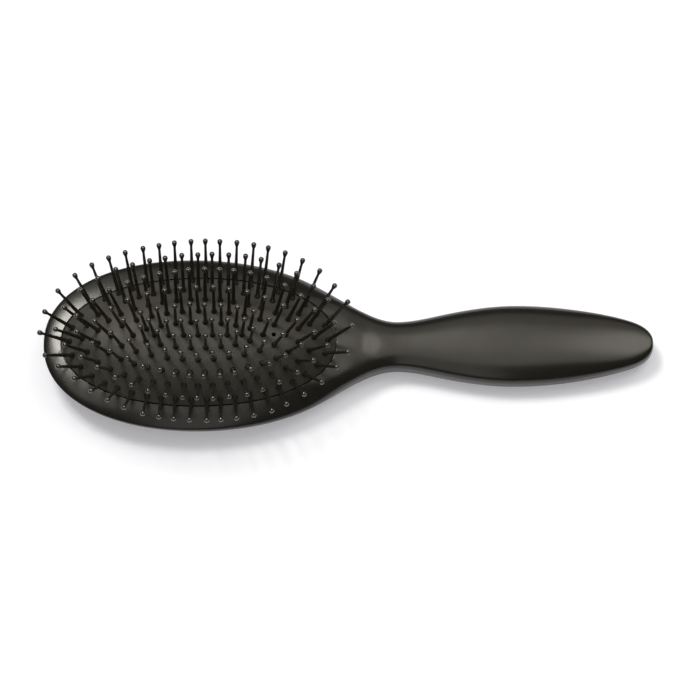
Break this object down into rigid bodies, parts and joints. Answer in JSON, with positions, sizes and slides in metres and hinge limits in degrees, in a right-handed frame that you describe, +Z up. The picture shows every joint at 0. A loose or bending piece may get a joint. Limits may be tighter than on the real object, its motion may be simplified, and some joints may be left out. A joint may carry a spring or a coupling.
{
  "type": "cushion brush",
  "caption": "Oval hair brush with a one-piece handle, a domed rubber air cushion and ball-tipped pins that give when pressed.",
  "frame": {"origin": "middle of the footprint, on the surface that the brush rests on, back down", "axes": "+X from the head along the handle to the grip's end, +Z up the pins, +Y across the brush"},
  "size_m": [0.2312, 0.0718, 0.0422],
  "materials": {
    "handle_lacquer": "solid wood under an opaque satin black lacquer",
    "cushion_rubber": "matt black moulded rubber",
    "pin_nylon": "polished black nylon"
  },
  "bodies": {
    "root": {"handle": "handle_lacquer", "cushion": "cushion_rubber"},
    "centre_row": {"pins_centre_row": "pin_nylon"},
    "ring_5": {"pins_ring_5_arc_1": "pin_nylon", "pins_ring_5_arc_2": "pin_nylon", "pins_ring_5_arc_3": "pin_nylon", "pins_ring_5_arc_4": "pin_nylon"},
    "ring_4": {"pins_ring_4_arc_1": "pin_nylon", "pins_ring_4_arc_2": "pin_nylon", "pins_ring_4_arc_3": "pin_nylon", "pins_ring_4_arc_4": "pin_nylon"},
    "ring_3": {"pins_ring_3_arc_1": "pin_nylon", "pins_ring_3_arc_2": "pin_nylon", "pins_ring_3_arc_3": "pin_nylon", "pins_ring_3_arc_4": "pin_nylon"},
    "ring_2": {"pins_ring_2_arc_1": "pin_nylon", "pins_ring_2_arc_2": "pin_nylon", "pins_ring_2_arc_3": "pin_nylon", "pins_ring_2_arc_4": "pin_nylon"},
    "ring_1": {"pins_ring_1_arc_1": "pin_nylon", "pins_ring_1_arc_2": "pin_nylon", "pins_ring_1_arc_3": "pin_nylon", "pins_ring_1_arc_4": "pin_nylon", "pins_ring_1_arc_5": "pin_nylon", "pins_ring_1_arc_6": "pin_nylon"}
  },
  "joints": [
    {"name": "cushion_press", "type": "slide", "parent": "root", "child": "centre_row", "axis": [0, 0, 1], "range_m": [-0.004, 0], "stiffness_N_per_m": 1500, "deforming": ["cushion"]},
    {"name": "ring_5_press", "type": "slide", "parent": "root", "child": "ring_5", "axis": [0, 0, 1], "range_m": [-0.00397, 0]},
    {"name": "ring_4_press", "type": "slide", "parent": "root", "child": "ring_4", "axis": [0, 0, 1], "range_m": [-0.00377, 0]},
    {"name": "ring_3_press", "type": "slide", "parent": "root", "child": "ring_3", "axis": [0, 0, 1], "range_m": [-0.00324, 0]},
    {"name": "ring_2_press", "type": "slide", "parent": "root", "child": "ring_2", "axis": [0, 0, 1], "range_m": [-0.0023, 0]},
    {"name": "ring_1_press", "type": "slide", "parent": "root", "child": "ring_1", "axis": [0, 0, 1], "range_m": [-0.00081, 0]}
  ],
  "couplings": [
    {"joint": "ring_5_press", "follows": "cushion_press", "ratio": 0.9906},
    {"joint": "ring_4_press", "follows": "cushion_press", "ratio": 0.94093},
    {"joint": "ring_3_press", "follows": "cushion_press", "ratio": 0.80904},
    {"joint": "ring_2_press", "follows": "cushion_press", "ratio": 0.57415},
    {"joint": "ring_1_press", "follows": "cushion_press", "ratio": 0.20235}
  ]
}
